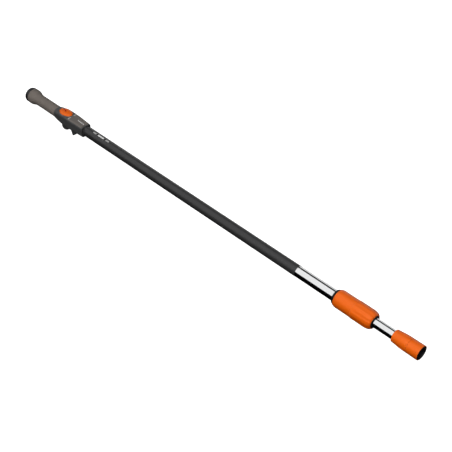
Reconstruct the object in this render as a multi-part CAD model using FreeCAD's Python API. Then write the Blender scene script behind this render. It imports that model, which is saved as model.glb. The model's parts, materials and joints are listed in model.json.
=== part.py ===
"""Telescopic tool pole with a trigger handle, a twist-lock collar and a tool coupling.

Millimetres. Stations along the pole are measured from the butt of the handle, and save()
moves every piece so that the origin is the middle of the tool socket's mouth.
+X runs along the pole to the tool end, +Z is up (the side with the thumb button).
"""
import FreeCAD, Part
import math
import os

from FreeCAD import Vector, Rotation, Placement

os.makedirs("parts", exist_ok=True)

X, Y, Z = Vector(1, 0, 0), Vector(0, 1, 0), Vector(0, 0, 1)

# ---------------------------------------------------------------- driving dimensions
LENGTH = 1504.0            # station of the tool socket's mouth with the inner pole at its drawn place
DRAWN_OUT = 5.0            # how much further the inner pole is pulled out, as it lies
SNUG = 0.05                # radial gap of a fitted or running pair
EASE = 0.3                 # gap between curved faces that only pass each other

OUTER_TUBE_R = 15.0        # 30 mm aluminium tube
OUTER_TUBE_BORE_R = 13.6
OUTER_TUBE_REAR, OUTER_TUBE_FRONT = 246.0, 1340.0
SKIN_R = 15.35             # black skin over the tube
SKIN_REAR, SKIN_FRONT = 250.0, 1127.0
INNER_TUBE_R = 12.5        # 25 mm aluminium tube
INNER_TUBE_BORE_R = 11.3
INNER_TUBE_REAR, INNER_TUBE_FRONT = 325.0, 1450.0

BUTT = 18.0                # the butt's end face
GRIP_REAR, GRIP_FRONT = 33.0, 156.0
CORE_R, CORE_BORE_R = 14.5, 11.8
CAP_FLOOR = 26.0           # inner face of the butt cap
CORE_REAR = 27.0
CAP_R = 23.0

HOUSING_FRONT = 289.0
WALL = 2.4                 # shell wall
PANEL_T = 2.4              # top panel thickness
DECK_T = 2.2               # shell deck under the top panel
PANEL_REAR, PANEL_FRONT = 221.0, 285.0
# station, half width, top, bottom, corner radius
HOUSING_SECTIONS = [
    (156.0, 17.4, 17.4, -17.1, 15.0),
    (178.0, 19.0, 19.2, -17.4, 10.0),
    (216.0, 20.0, 20.0, -17.5, 7.0),
    (HOUSING_FRONT, 17.0, 17.0, -17.5, 6.0),
]
CAVITY_REAR, CAVITY_FRONT = 159.0, 244.0

BUTTON_X = 197.0           # middle of the thumb button
BUTTON_A, BUTTON_B = 25.0, 15.3    # its half length and half width
BUTTON_BOTTOM, BUTTON_BRIM = 13.2, 20.6
BUTTON_GAP = 0.4           # all round between the button and its bezel
BEZEL_LIP = 1.7
BEZEL_PROUD = 0.5

PIVOT_X, PIVOT_Z = 227.0, -26.0    # trigger pin
PIN_R = 1.5
TRIGGER_HALF = 8.0
TRIGGER_TOP = -12.0
# station and bottom height of the finger pad, from its rear wall to the ear
TRIGGER_PAD = [(178.2, -37.0), (180.5, -40.6), (185.0, -42.8), (192.0, -42.4), (200.0, -39.2),
               (216.0, -28.0)]
RAMP_FRONT = 176.0
EAR_HALF = 3.5
EAR_R = 4.2
GUARD_HALF = 8.2

SWITCH = (184.0, 212.0, 7.0, -4.5, 9.5)    # rear, front, half width, bottom, top
PLUNGER_X, PLUNGER_R = 195.0, 2.5
STEM_R = 3.0

SCREW_R, SCREW_HEAD_R, SCREW_HEAD_H = 1.5, 2.8, 2.4
# station, height, outer half width of the shells there
SHELL_SCREWS = [(66.0, 0.0, 14.5), (112.0, 0.0, 14.5), (167.5, 0.0, 17.9),
                (228.0, 1.0, 19.6), (243.5, -22.0, GUARD_HALF)]
BOSS_R = 4.0
BUTT_BOSS_R = 6.0
BUTT_SCREW_R = 2.0
TUBE_PIN_X, TUBE_PIN_R = 268.0, 2.0

COLLAR_R = 24.1
NUT_R = 24.9
RING_REAR, COLLAR_REAR, COLLAR_SEAM = 1249.0, 1257.0, 1312.0
SEAM_GAP = 0.4
SPIGOT_R = 20.0
NUT_ROUND, NUT_FRONT = 1352.0, 1371.0
NUT_FACE_R = 17.4
WIPER_REAR, WIPER_FRONT = 1368.6, 1373.6
WIPER_R, WIPER_BORE_R = 16.4, 12.9
COLLET_REAR, COLLET_FRONT = 1343.2, 1366.0
COLLET_REAR_R, COLLET_FRONT_R = 18.0, 15.2
GUIDE_REAR = 1262.0
GUIDE_FLANGE = 3.0
TAIL_REAR, TAIL_FRONT = 322.0, 368.0

COUPLING_REAR, COUPLING_SEAM = 1426.0, 1470.0
SLEEVE_REAR, SLEEVE_FRONT = 1470.4, LENGTH - 0.4
SLEEVE_BORE_R = 17.0
INSERT_R = 16.92
INSERT_SPIGOT_R = 15.95
INSERT_REAR = 1451.0
SOCKET_R, SOCKET_FLOOR = 11.0, 1467.0
KEYWAY_W, KEYWAY_D = 4.0, 1.5
BALL_X, BALL_R, BALL_RING_R = 1489.0, 2.5, 13.6
SPRING_GROOVE = (1471.5, 1479.5, 14.9)
BEYOND = 5.0               # how far a cutter reaches past the face it cuts
# the sub-parts that slide together in and out of the outer tube
SLIDING = {"tail_bush", "tail_clip", "inner_tube", "coupling_body", "tube_screws", "insert_screws",
           "socket_insert", "contact_pins", "lock_balls", "sleeve_spring", "locking_sleeve"}


# ---------------------------------------------------------------- helpers
def save(name, shape):
    """Write one sub-part, moved so that the socket's mouth is the origin."""
    piece = shape.copy()
    piece.translate(Vector(-LENGTH if name in SLIDING else -LENGTH - DRAWN_OUT, 0, 0))
    piece.exportStep("parts/" + name + ".step")
    low, high = piece.BoundBox.XMin, piece.BoundBox.XMax
    print(f"{name:18s} solids {len(piece.Solids)}  valid {piece.isValid()}  "
          f"x {low:9.2f} to {high:9.2f}  volume {piece.Volume / 1000:8.2f} cm3")


def rod(x0, x1, radius, y=0.0, z=0.0):
    """A round bar along the pole."""
    return Part.makeCylinder(radius, x1 - x0, Vector(x0, y, z), X)


def pipe(x0, x1, radius, bore):
    """A round tube along the pole."""
    return rod(x0, x1, radius).cut(rod(x0 - BEYOND, x1 + BEYOND, bore))


def cross_rod(x, z, radius, y0, y1):
    """A round bar across the pole."""
    return Part.makeCylinder(radius, y1 - y0, Vector(x, y0, z), Y)


def block(x0, x1, y0, y1, z0, z1):
    return Part.makeBox(x1 - x0, y1 - y0, z1 - z0, Vector(x0, y0, z0))


def turned(points):
    """A solid of revolution about the pole from (station, radius) points."""
    wire = Part.makePolygon([Vector(x, 0, r) for x, r in points + points[:1]])
    return Part.Face(wire).revolve(Vector(0, 0, 0), X, 360)


def around(shape, angle):
    """The shape turned about the pole's axis by an angle in degrees."""
    turned_shape = shape.copy()
    turned_shape.rotate(Vector(0, 0, 0), X, angle)
    return turned_shape


def side_profile(points, half_width):
    """A prism across the pole from (station, height) points."""
    wire = Part.makePolygon([Vector(x, -half_width, z) for x, z in points + points[:1]])
    return Part.Face(wire).extrude(Y * (2 * half_width))


def rounded_section(x, half_width, top, bottom, radius):
    """A rounded rectangle across the pole."""
    k = radius * (1 - math.sqrt(0.5))
    w, t, b, r = half_width, top, bottom, radius

    def p(y, z):
        return Vector(x, y, z)

    edges = [
        Part.LineSegment(p(-w + r, t), p(w - r, t)).toShape(),
        Part.Arc(p(w - r, t), p(w - k, t - k), p(w, t - r)).toShape(),
        Part.LineSegment(p(w, t - r), p(w, b + r)).toShape(),
        Part.Arc(p(w, b + r), p(w - k, b + k), p(w - r, b)).toShape(),
        Part.LineSegment(p(w - r, b), p(-w + r, b)).toShape(),
        Part.Arc(p(-w + r, b), p(-w + k, b + k), p(-w, b + r)).toShape(),
        Part.LineSegment(p(-w, b + r), p(-w, t - r)).toShape(),
        Part.Arc(p(-w, t - r), p(-w + k, t - k), p(-w + r, t)).toShape(),
    ]
    return Part.Wire(edges)


def ellipse_prism(a, b, z0, z1):
    """An upright elliptical prism on the thumb button's centre."""
    curve = Part.Ellipse(Vector(BUTTON_X, 0, z0), a, b)
    return Part.Face(Part.Wire(curve.toShape())).extrude(Z * (z1 - z0))


def coil(radius, wire_r, length, turns, start, axis):
    """A coil spring of eight-sided wire that begins at start and runs along axis."""
    pitch = length / turns
    path = Part.makeLongHelix(pitch, length, radius)
    lift = Vector(0, 2 * math.pi * radius, pitch).normalize().cross(X)
    corners = []
    for i in range(9):
        turn = math.radians(45 * (i % 8))
        corners.append(X * (radius + wire_r * math.cos(turn)) + lift * (wire_r * math.sin(turn)))
    spring = path.makePipeShell([Part.makePolygon(corners)], True, True)
    spring.Placement = Placement(start, Rotation(Z, axis))
    return spring


def screw(x, z, head_face, tip):
    """A pan-head screw across the pole, its head on the +Y side."""
    head = cross_rod(x, z, SCREW_HEAD_R, head_face - SCREW_HEAD_H, head_face)
    head = head.makeChamfer(0.4, [e for e in head.Edges if abs(e.CenterOfMass.y - head_face) < 0.01])
    slot = block(x - 2.0, x + 2.0, head_face - 1.0, head_face + BEYOND, z - 0.4, z + 0.4)
    cross = block(x - 0.4, x + 0.4, head_face - 1.0, head_face + BEYOND, z - 2.0, z + 2.0)
    return head.fuse(cross_rod(x, z, SCREW_R, tip, head_face - SCREW_HEAD_H)).cut(slot).cut(cross)


# ---------------------------------------------------------------- handle
def housing_outer():
    return Part.makeLoft([rounded_section(*s) for s in HOUSING_SECTIONS], True)


def housing_cavity():
    """The hollow for the switch and trigger, with a deck left under the top panel."""
    sections = []
    for x, w, t, b, r in HOUSING_SECTIONS:
        sections.append(rounded_section(x, w - WALL, t - PANEL_T - DECK_T, b + WALL, max(r - WALL, 3.0)))
    hollow = Part.makeLoft(sections, True)
    return hollow.common(block(CAVITY_REAR, CAVITY_FRONT, -30, 30, -30, 30))


def panel_plan(extra):
    """The top panel's outline seen from above, as a tall prism in front of the button."""
    rear, front = PANEL_REAR - extra, PANEL_FRONT + extra
    outline = [(rear, -18.3 - extra), (front, -15.4 - extra), (front, 15.4 + extra), (rear, 18.3 + extra)]
    wire = Part.makePolygon([Vector(x, y, 6.0) for x, y in outline + outline[:1]])
    prism = Part.Face(wire).extrude(Z * 30)
    upright = [e for e in prism.Edges if abs(e.BoundBox.ZLength - 30) < 0.01]
    return prism.makeFillet(2.0, upright)


def panel_floor(drop):
    """The housing's outer form let down, whose top is the panel's or the bezel's seat."""
    floor = housing_outer()
    floor.translate(Vector(0, 0, -drop))
    return floor


def ramp():
    """The swell under the grip that leads the finger to the trigger."""
    points = [(157.0, -10.0), (157.0, -17.0), (164.0, -20.2), (171.0, -26.0), (RAMP_FRONT, -30.5),
              (RAMP_FRONT, -10.0)]
    solid = side_profile(points, 11.0)
    under = [e for e in solid.Edges if abs(abs(e.CenterOfMass.y) - 11.0) < 0.01 and e.CenterOfMass.z < -18]
    return solid.makeFillet(3.0, under)


def guard():
    """The pointed tooth in front of the trigger."""
    points = [(217.5, -12.0), (217.5, -18.0), (226.5, -44.5), (229.5, -45.0), (235.0, -40.5),
              (258.0, -17.0), (258.0, -12.0)]
    solid = side_profile(points, GUARD_HALF)
    under = [e for e in solid.Edges
             if abs(abs(e.CenterOfMass.y) - GUARD_HALF) < 0.01 and e.CenterOfMass.z < -18]
    return solid.makeFillet(1.8, under)


def shell_block():
    """Both shells as one hollow block, before they are split."""
    solid = housing_outer().fuse([ramp(), guard(), rod(CORE_REAR, 160.0, CORE_R)])
    hollow = housing_cavity().fuse(rod(CORE_REAR - BEYOND, CAVITY_REAR + 1, CORE_BORE_R))
    solid = solid.cut(hollow)
    # seat of the outer tube and its skin
    solid = solid.cut(rod(CAVITY_FRONT - 1, HOUSING_FRONT + BEYOND, SKIN_R + SNUG))
    # screw bosses across the hollow
    for x, z, half in SHELL_SCREWS:
        boss_r, skin = (BUTT_BOSS_R, 2.0) if x < GRIP_REAR + 50 else (BOSS_R, 1.2)
        solid = solid.fuse(cross_rod(x, z, boss_r, -half + skin, half - skin))
    # ribs that hold the switch
    rear, front, half, low, high = SWITCH
    for x0, x1 in ((rear - 2.2, rear - SNUG), (front + SNUG, front + 2.2)):
        solid = solid.fuse(block(x0, x1, -18.2, 18.2, low + 1.0, high))
        solid = solid.cut(block(x0 - 0.1, x1 + 0.1, -4.0, 4.0, low, high + 1))
    # seat of the top panel, and the well for the button below it
    bezel_rim = ellipse_prism(BUTTON_A + BEZEL_LIP + SNUG, BUTTON_B + BEZEL_LIP + SNUG, 5, 35)
    solid = solid.cut(panel_plan(0.1).fuse(bezel_rim).cut(panel_floor(PANEL_T + SNUG)))
    solid = solid.cut(ellipse_prism(BUTTON_A + BUTTON_GAP, BUTTON_B + BUTTON_GAP, high + 1.0, 30))
    # trigger opening, ear slot and pin hole
    side = TRIGGER_HALF + 0.5
    solid = solid.cut(block(RAMP_FRONT, 216.8, -side, side, -40, -10))
    solid = solid.cut(block(216.0, 219.2, -side, side, -18.5, -10))
    solid = solid.cut(block(210.0, PIVOT_X + EAR_R + 1.0, -EAR_HALF - EASE, EAR_HALF + EASE, -33.0, -10.0))
    solid = solid.cut(cross_rod(PIVOT_X, PIVOT_Z, PIN_R + SNUG, -6.5, 6.5))
    # screw holes and head pockets
    for x, z, half in SHELL_SCREWS:
        solid = solid.cut(cross_rod(x, z, SCREW_R + SNUG, -half + 3.0, half))
        solid = solid.cut(cross_rod(x, z, SCREW_HEAD_R + 0.2, half - 3.4, half + BEYOND))
    # butt screw and the pin that anchors the tube
    solid = solid.cut(rod(BUTT + 36.0, BUTT + 45.6, BUTT_SCREW_R + SNUG))
    return solid.cut(cross_rod(TUBE_PIN_X, 0, TUBE_PIN_R + SNUG, -16.3, 16.3))


def shells():
    whole = shell_block()
    right = whole.common(block(-10, 300, 0, 40, -60, 40))
    left = whole.common(block(-10, 300, -40, 0, -60, 40))
    return left, right


def shell_screws():
    return Part.makeCompound([screw(x, z, half - 1.0, max(-half + 3.2, -11.0))
                              for x, z, half in SHELL_SCREWS])


def top_panel():
    panel = housing_outer().common(panel_plan(0.0)).cut(panel_floor(PANEL_T))
    outer = ellipse_prism(BUTTON_A + BEZEL_LIP + SNUG, BUTTON_B + BEZEL_LIP + SNUG, 5, 35)
    return panel.cut(outer).cut(rod(240.0, HOUSING_FRONT, SKIN_R + SNUG))


def bezel():
    """The pale frame round the thumb button, standing a little proud of the panel."""
    ring = ellipse_prism(BUTTON_A + BEZEL_LIP, BUTTON_B + BEZEL_LIP, 5, 35)
    ring = ring.cut(ellipse_prism(BUTTON_A + BUTTON_GAP, BUTTON_B + BUTTON_GAP, 0, 40))
    return ring.common(panel_floor(-BEZEL_PROUD)).cut(panel_floor(PANEL_T))


def button_dome(inset):
    """The button's body as a stack of shrinking ellipses, inset all over."""
    layers = [(BUTTON_BRIM, 0.0), (22.6, 1.4), (24.0, 4.4), (24.9, 9.0)]
    wires = []
    for z, shrink in layers:
        curve = Part.Ellipse(Vector(BUTTON_X, 0, z - inset), BUTTON_A - shrink - inset,
                             BUTTON_B - shrink * 0.72 - inset)
        wires.append(Part.Wire(curve.toShape()))
    skirt = ellipse_prism(BUTTON_A - inset, BUTTON_B - inset, BUTTON_BOTTOM - inset, BUTTON_BRIM - inset)
    return Part.makeLoft(wires, True, True).fuse(skirt)


def lock_button():
    body = button_dome(0.0)
    body = body.cut(button_dome(2.2))
    # finger channel along the rear half
    groove = side_profile([(165.0, 22.8), (165.0, 30.0), (207.0, 30.0), (203.0, 23.7)], 2.0)
    body = body.cut(groove)
    stem = Part.makeCylinder(STEM_R, 16.0, Vector(BUTTON_X, 0, 7.5), Z)
    return body.fuse(stem)


def button_spring():
    high = SWITCH[4]
    return coil(5.2, 0.45, 10.6, 5.0, Vector(BUTTON_X, 0, high + 0.6), Z)


def switch_body():
    rear, front, half, low, high = SWITCH
    body = block(rear, front, -half, half, low, high)
    body = body.makeFillet(0.8, [e for e in body.Edges if abs(e.BoundBox.ZLength - (high - low)) < 0.01])
    body = body.cut(Part.makeCylinder(PLUNGER_R + SNUG, 6.3, Vector(PLUNGER_X, 0, low), Z))
    body = body.cut(Part.makeCylinder(STEM_R + 0.1, 5.6, Vector(BUTTON_X, 0, high - 5.6), Z))
    for y in (-2.6, 0.0, 2.6):
        tab = block(front - 1.5, front + 4.0, y - 0.8, y + 0.8, 1.0, 1.8)
        body = body.fuse(tab)
    return body


def switch_plunger():
    low = SWITCH[3]
    foot = TRIGGER_TOP + 0.4 + PLUNGER_R
    pin = Part.makeCylinder(PLUNGER_R, low + 1.4 - foot, Vector(PLUNGER_X, 0, foot), Z)
    return pin.fuse(Part.makeSphere(PLUNGER_R, Vector(PLUNGER_X, 0, foot)))


def trigger():
    """The finger lever: a rounded pad hinged on an ear inside the guard."""
    pad = Part.makeLoft([rounded_section(x, TRIGGER_HALF, TRIGGER_TOP, bottom, 2.5)
                         for x, bottom in TRIGGER_PAD], True, True)
    ear = block(212.0, PIVOT_X, -EAR_HALF, EAR_HALF, PIVOT_Z - EAR_R, PIVOT_Z + EAR_R)
    ear = ear.fuse(cross_rod(PIVOT_X, PIVOT_Z, EAR_R, -EAR_HALF, EAR_HALF))
    ear = ear.cut(block(205.0, TRIGGER_PAD[-1][0], -20, 20, -60, TRIGGER_PAD[-1][1]))
    body = pad.fuse(ear).cut(cross_rod(PIVOT_X, PIVOT_Z, PIN_R + SNUG, -20, 20))
    return body.cut(Part.makeCylinder(3.6, 1.5, Vector(206.0, 0, TRIGGER_TOP - 1.5), Z))


def trigger_spring():
    foot = TRIGGER_TOP - 1.0
    return coil(2.9, 0.35, SWITCH[3] - foot - 1.0, 4.0, Vector(206.0, 0, foot), Z)


def grip_sleeve():
    """The soft grip: a bell at the butt that runs into a slim shaft."""
    curve = Part.BSplineCurve()
    curve.interpolate([Vector(GRIP_REAR, 0, CAP_R), Vector(40.0, 0, 23.1), Vector(46.0, 0, 22.5),
                       Vector(52.0, 0, 20.6), Vector(60.0, 0, 18.2), Vector(68.0, 0, 17.35),
                       Vector(80.0, 0, 17.2), Vector(112.0, 0, 17.2), Vector(GRIP_FRONT, 0, 17.4)])
    bore = CORE_R + SNUG
    edges = [curve.toShape(),
             Part.LineSegment(Vector(GRIP_FRONT, 0, 17.4), Vector(GRIP_FRONT, 0, bore)).toShape(),
             Part.LineSegment(Vector(GRIP_FRONT, 0, bore), Vector(GRIP_REAR, 0, bore)).toShape(),
             Part.LineSegment(Vector(GRIP_REAR, 0, bore), Vector(GRIP_REAR, 0, CAP_R)).toShape()]
    return Part.Face(Part.Wire(edges)).revolve(Vector(0, 0, 0), X, 360)


def butt_cap():
    cup = turned([(BUTT, 0.0), (BUTT, 18.5), (BUTT + 0.8, 20.6), (BUTT + 2.4, 22.1), (BUTT + 5.0, 22.7),
                  (GRIP_REAR, CAP_R), (GRIP_REAR, CORE_R + SNUG), (CAP_FLOOR, CORE_R + SNUG), (CAP_FLOOR, 0.0)])
    spigot = pipe(CAP_FLOOR, BUTT + 30.0, CORE_BORE_R - SNUG, CORE_BORE_R - 2.5)
    cup = cup.fuse([spigot, rod(CAP_FLOOR, BUTT + 14.0, 5.0)])
    cup = cup.cut(rod(BUTT - 1.0, BUTT + 3.4, 4.2))
    return cup.cut(rod(BUTT, BUTT + 20.0, BUTT_SCREW_R + SNUG))


def butt_screw():
    body = rod(BUTT + 1.4, BUTT + 3.4, 3.8).fuse(rod(BUTT + 3.4, BUTT + 45.4, BUTT_SCREW_R))
    for half_y, half_z in ((2.4, 0.5), (0.5, 2.4)):
        body = body.cut(block(BUTT, BUTT + 2.4, -half_y, half_y, -half_z, half_z))
    return body


# ---------------------------------------------------------------- outer pole and collar
def outer_tube():
    tube = pipe(OUTER_TUBE_REAR, OUTER_TUBE_FRONT, OUTER_TUBE_R, OUTER_TUBE_BORE_R)
    tube = tube.cut(cross_rod(TUBE_PIN_X, 0, TUBE_PIN_R + SNUG, -20, 20))
    for angle in (0, 180):
        tube = tube.cut(around(grub_hole(1.55), angle))
    return tube


def tube_skin():
    skin = pipe(SKIN_REAR, SKIN_FRONT, SKIN_R, OUTER_TUBE_R + 0.02)
    return skin.cut(cross_rod(TUBE_PIN_X, 0, TUBE_PIN_R + SNUG, -20, 20))


def tube_plug():
    """The plug that closes the rear of the outer tube."""
    body = rod(242.0, OUTER_TUBE_REAR, 14.6).fuse(rod(OUTER_TUBE_REAR, 260.0, OUTER_TUBE_BORE_R - SNUG))
    return body.cut(rod(240.0, 262.0, 4.0))


def tube_pin():
    return cross_rod(TUBE_PIN_X, 0, TUBE_PIN_R, -16.2, 16.2)


def collar_rear_ring():
    r_in = OUTER_TUBE_R + SNUG
    return turned([(RING_REAR, r_in), (RING_REAR, 17.7), (RING_REAR + 1.2, 18.9),
                   (COLLAR_REAR - 1.0, 22.0), (COLLAR_REAR, 22.3), (COLLAR_REAR, r_in)])


def grub_hole(radius):
    """A radial hole through the collar's spigot and the tube."""
    return Part.makeCylinder(radius, 8.0, Vector(1326.0, 0, 12.5), Z)


def collar_body():
    r_in = OUTER_TUBE_R + SNUG
    body = turned([(COLLAR_REAR, r_in), (COLLAR_REAR, 22.4), (COLLAR_REAR + 1.4, 23.2),
                   (COLLAR_REAR + 6.0, COLLAR_R), (COLLAR_SEAM - 0.6, COLLAR_R), (COLLAR_SEAM, COLLAR_R - 0.6),
                   (COLLAR_SEAM, SPIGOT_R), (1339.0, SPIGOT_R), (OUTER_TUBE_FRONT, SPIGOT_R - 1.0),
                   (OUTER_TUBE_FRONT, r_in)])
    for angle in (0, 180):
        body = body.cut(around(grub_hole(1.55), angle))
    return body


def collar_screws():
    grub = Part.makeCylinder(1.5, 5.4, Vector(1326.0, 0, 13.8), Z)
    grub = grub.cut(Part.makeBox(3.2, 0.6, 0.8, Vector(1324.4, -0.3, 18.5)))
    return Part.makeCompound([around(grub, angle) for angle in (0, 180)])


def guide_bush():
    bore = INNER_TUBE_R + SNUG
    front = OUTER_TUBE_FRONT + GUIDE_FLANGE
    body = pipe(GUIDE_REAR, OUTER_TUBE_FRONT, OUTER_TUBE_BORE_R - SNUG, bore)
    body = body.fuse(pipe(OUTER_TUBE_FRONT, front, 17.0, bore))
    for angle in (0, 180):
        body = body.cut(around(grub_hole(1.8), angle))
    return body


def collet():
    """The slotted cone that the nut squeezes onto the inner tube."""
    bore = INNER_TUBE_R + SNUG
    cone = turned([(COLLET_REAR, bore), (COLLET_REAR, COLLET_REAR_R),
                   (COLLET_FRONT, COLLET_FRONT_R), (COLLET_FRONT, bore)])
    slot = block(COLLET_REAR + 5.0, COLLET_FRONT + BEYOND, -0.8, 0.8, 10.0, 22.0)
    for i in range(6):
        cone = cone.cut(around(slot, 60 * i))
    return cone


def clamp_nut():
    """The twist grip: bored for the collar's spigot, coned over the collet."""
    rear = COLLAR_SEAM + SEAM_GAP
    outline = [Part.LineSegment(Vector(rear, 0, 20.35), Vector(rear, 0, NUT_R - 0.6)),
               Part.LineSegment(Vector(rear, 0, NUT_R - 0.6), Vector(rear + 0.6, 0, NUT_R)),
               Part.LineSegment(Vector(rear + 0.6, 0, NUT_R), Vector(NUT_ROUND, 0, NUT_R)),
               Part.Arc(Vector(NUT_ROUND, 0, NUT_R), Vector(1364.2, 0, 22.3),
                        Vector(NUT_FRONT, 0, NUT_FACE_R))]
    inner = [(NUT_FRONT, NUT_FACE_R), (NUT_FRONT, WIPER_R + SNUG), (WIPER_REAR - 0.1, WIPER_R + SNUG),
             (WIPER_REAR - 0.1, 13.3), (COLLET_FRONT + 0.6, 13.3),
             (COLLET_FRONT + 0.6, COLLET_FRONT_R + 0.4), (COLLET_REAR - 0.2, COLLET_REAR_R + 0.5), (COLLET_REAR - 0.2, 18.9), (1341.0, 18.9),
             (1341.0, 20.35), (rear, 20.35)]
    for (x0, r0), (x1, r1) in zip(inner, inner[1:]):
        outline.append(Part.LineSegment(Vector(x0, 0, r0), Vector(x1, 0, r1)))
    body = Part.Face(Part.Wire([c.toShape() for c in outline])).revolve(Vector(0, 0, 0), X, 360)
    # shallow scallops for the fingers
    scallop = rod(rear + 3.0, NUT_FRONT, 26.0, 0.0, NUT_R + 25.3)
    for i in range(8):
        body = body.cut(around(scallop, 45 * i + 10))
    return body


def wiper_ring():
    return turned([(WIPER_REAR, WIPER_BORE_R), (WIPER_REAR, WIPER_R), (WIPER_FRONT - 1.5, WIPER_R),
                   (WIPER_FRONT, WIPER_R - 1.6), (WIPER_FRONT, WIPER_BORE_R)])


# ---------------------------------------------------------------- inner pole
def tail_bush():
    """The bush at the tail of the inner tube that runs in the outer tube."""
    body = pipe(TAIL_REAR, TAIL_FRONT, OUTER_TUBE_BORE_R - SNUG, INNER_TUBE_R + SNUG)
    return body.fuse(pipe(TAIL_REAR, INNER_TUBE_REAR - 0.3, OUTER_TUBE_BORE_R - SNUG, 10.0))


def tail_clip():
    ring = pipe(TAIL_FRONT + 0.3, TAIL_FRONT + 1.5, 13.2, INNER_TUBE_R + 0.02)
    return ring.cut(block(TAIL_FRONT, TAIL_FRONT + 2, -2.0, 2.0, -20, -5))


def radial_screw(x, head_r_at, tip_r_at, angle):
    """A countersunk screw driven toward the pole's axis."""
    shank = Part.makeCylinder(1.5, head_r_at - 1.6 - tip_r_at, Vector(x, 0, tip_r_at), Z)
    head = Part.makeCone(1.5, 3.0, 1.6, Vector(x, 0, head_r_at - 1.6), Z)
    slot = block(x - 1.8, x + 1.8, -0.35, 0.35, head_r_at - 0.7, head_r_at + 1)
    return around(shank.fuse(head).cut(slot), angle)


def radial_hole(x, head_r_at, tip_r_at, angle):
    hole = Part.makeCylinder(1.5 + SNUG, head_r_at - tip_r_at, Vector(x, 0, tip_r_at), Z)
    sink = Part.makeCone(1.55, 3.1, 1.6, Vector(x, 0, head_r_at - 1.6), Z)
    mouth = Part.makeCylinder(3.1, 4.0, Vector(x, 0, head_r_at), Z)
    return around(hole.fuse([sink, mouth]), angle)


# station, radius of the head's face, radius of the tip, angle round the pole
TUBE_SCREWS = [(1440.0, 17.4, 10.8, 180), (1440.0, 17.4, 10.8, -90)]
INSERT_SCREWS = [(1459.0, 18.8, 9.0, 180), (1459.0, 18.8, 9.0, -90)]


def inner_tube():
    tube = pipe(INNER_TUBE_REAR, INNER_TUBE_FRONT, INNER_TUBE_R, INNER_TUBE_BORE_R)
    for row in TUBE_SCREWS:
        tube = tube.cut(radial_hole(*row))
    return tube


def coupling_body():
    r_in = INNER_TUBE_R + SNUG
    body = turned([(COUPLING_REAR, r_in), (COUPLING_REAR, 15.9), (COUPLING_REAR + 0.8, 16.6),
                   (1438.0, 17.7), (1452.0, 19.1), (1462.0, 19.45), (COUPLING_SEAM - 0.5, 19.5),
                   (COUPLING_SEAM, 19.0), (COUPLING_SEAM, INSERT_SPIGOT_R + SNUG),
                   (INSERT_REAR, INSERT_SPIGOT_R + SNUG), (INSERT_REAR, r_in)])
    # thumb flutes on both flanks, a little below the middle, with round front ends
    flute = rod(COUPLING_REAR - BEYOND, 1461.0, 6.0).fuse(Part.makeSphere(6.0, Vector(1461.0, 0, 0)))
    flute.translate(Vector(0, 0, 23.4))
    for angle in (105, -105):
        body = body.cut(around(flute, angle))
    for row in TUBE_SCREWS + INSERT_SCREWS:
        body = body.cut(radial_hole(*row))
    return body


def socket_insert():
    """The black socket that takes the tool's spigot."""
    groove_rear, groove_front, groove_r = SPRING_GROOVE
    body = turned([(INSERT_REAR + 0.1, 0.0), (INSERT_REAR + 0.1, INSERT_SPIGOT_R),
                   (COUPLING_SEAM, INSERT_SPIGOT_R), (groove_rear, INSERT_SPIGOT_R),
                   (groove_rear, groove_r), (groove_front, groove_r), (groove_front, INSERT_R),
                   (1501.0, INSERT_R), (1501.0, 17.9), (LENGTH - 0.5, 17.9), (LENGTH, 17.4),
                   (LENGTH, 0.0)])
    body = body.cut(rod(SOCKET_FLOOR, LENGTH + BEYOND, SOCKET_R))
    body = body.cut(rod(INSERT_REAR - BEYOND, SOCKET_FLOOR + 1, 3.0))
    body = body.cut(block(SOCKET_FLOOR, LENGTH + BEYOND, -KEYWAY_W / 2, KEYWAY_W / 2, 0,
                          SOCKET_R + KEYWAY_D))
    for angle in (60, 180, 300):
        window = Part.makeCylinder(BALL_R + SNUG, 8.0, Vector(BALL_X, 0, 10.0), Z)
        body = body.cut(around(window, angle))
    for row in INSERT_SCREWS:
        body = body.cut(radial_hole(*row))
    for row in contact_pin_places():
        body = body.cut(rod(INSERT_REAR, SOCKET_FLOOR + 1, 1.0, *row))
    return body


def contact_pin_places():
    """(y, z) of the three contact pins, sunk just under the socket's floor."""
    return [(6.5 * math.sin(math.radians(a)), 6.5 * math.cos(math.radians(a))) for a in (60, 120, 300)]


def contact_pins():
    return Part.makeCompound([rod(INSERT_REAR + 1.0, SOCKET_FLOOR - 0.5, 1.0, *row)
                              for row in contact_pin_places()])


def lock_balls():
    ball = Part.makeSphere(BALL_R, Vector(BALL_X, 0, BALL_RING_R))
    return Part.makeCompound([around(ball, angle) for angle in (60, 180, 300)])


def sleeve_spring():
    groove_rear, _, _ = SPRING_GROOVE
    return coil(15.9, 0.5, 6.0, 3.0, Vector(groove_rear + 1.0, 0, 0), X)


def locking_sleeve():
    """The turning sleeve round the socket that drives the locking balls."""
    body = turned([(SLEEVE_REAR, SLEEVE_BORE_R), (SLEEVE_REAR, 19.0), (SLEEVE_REAR + 0.5, 19.5),
                   (SLEEVE_FRONT - 0.7, 19.8), (SLEEVE_FRONT, 19.1), (SLEEVE_FRONT, 18.2),
                   (1500.7, 18.2), (1500.7, SLEEVE_BORE_R)])
    return body


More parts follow.
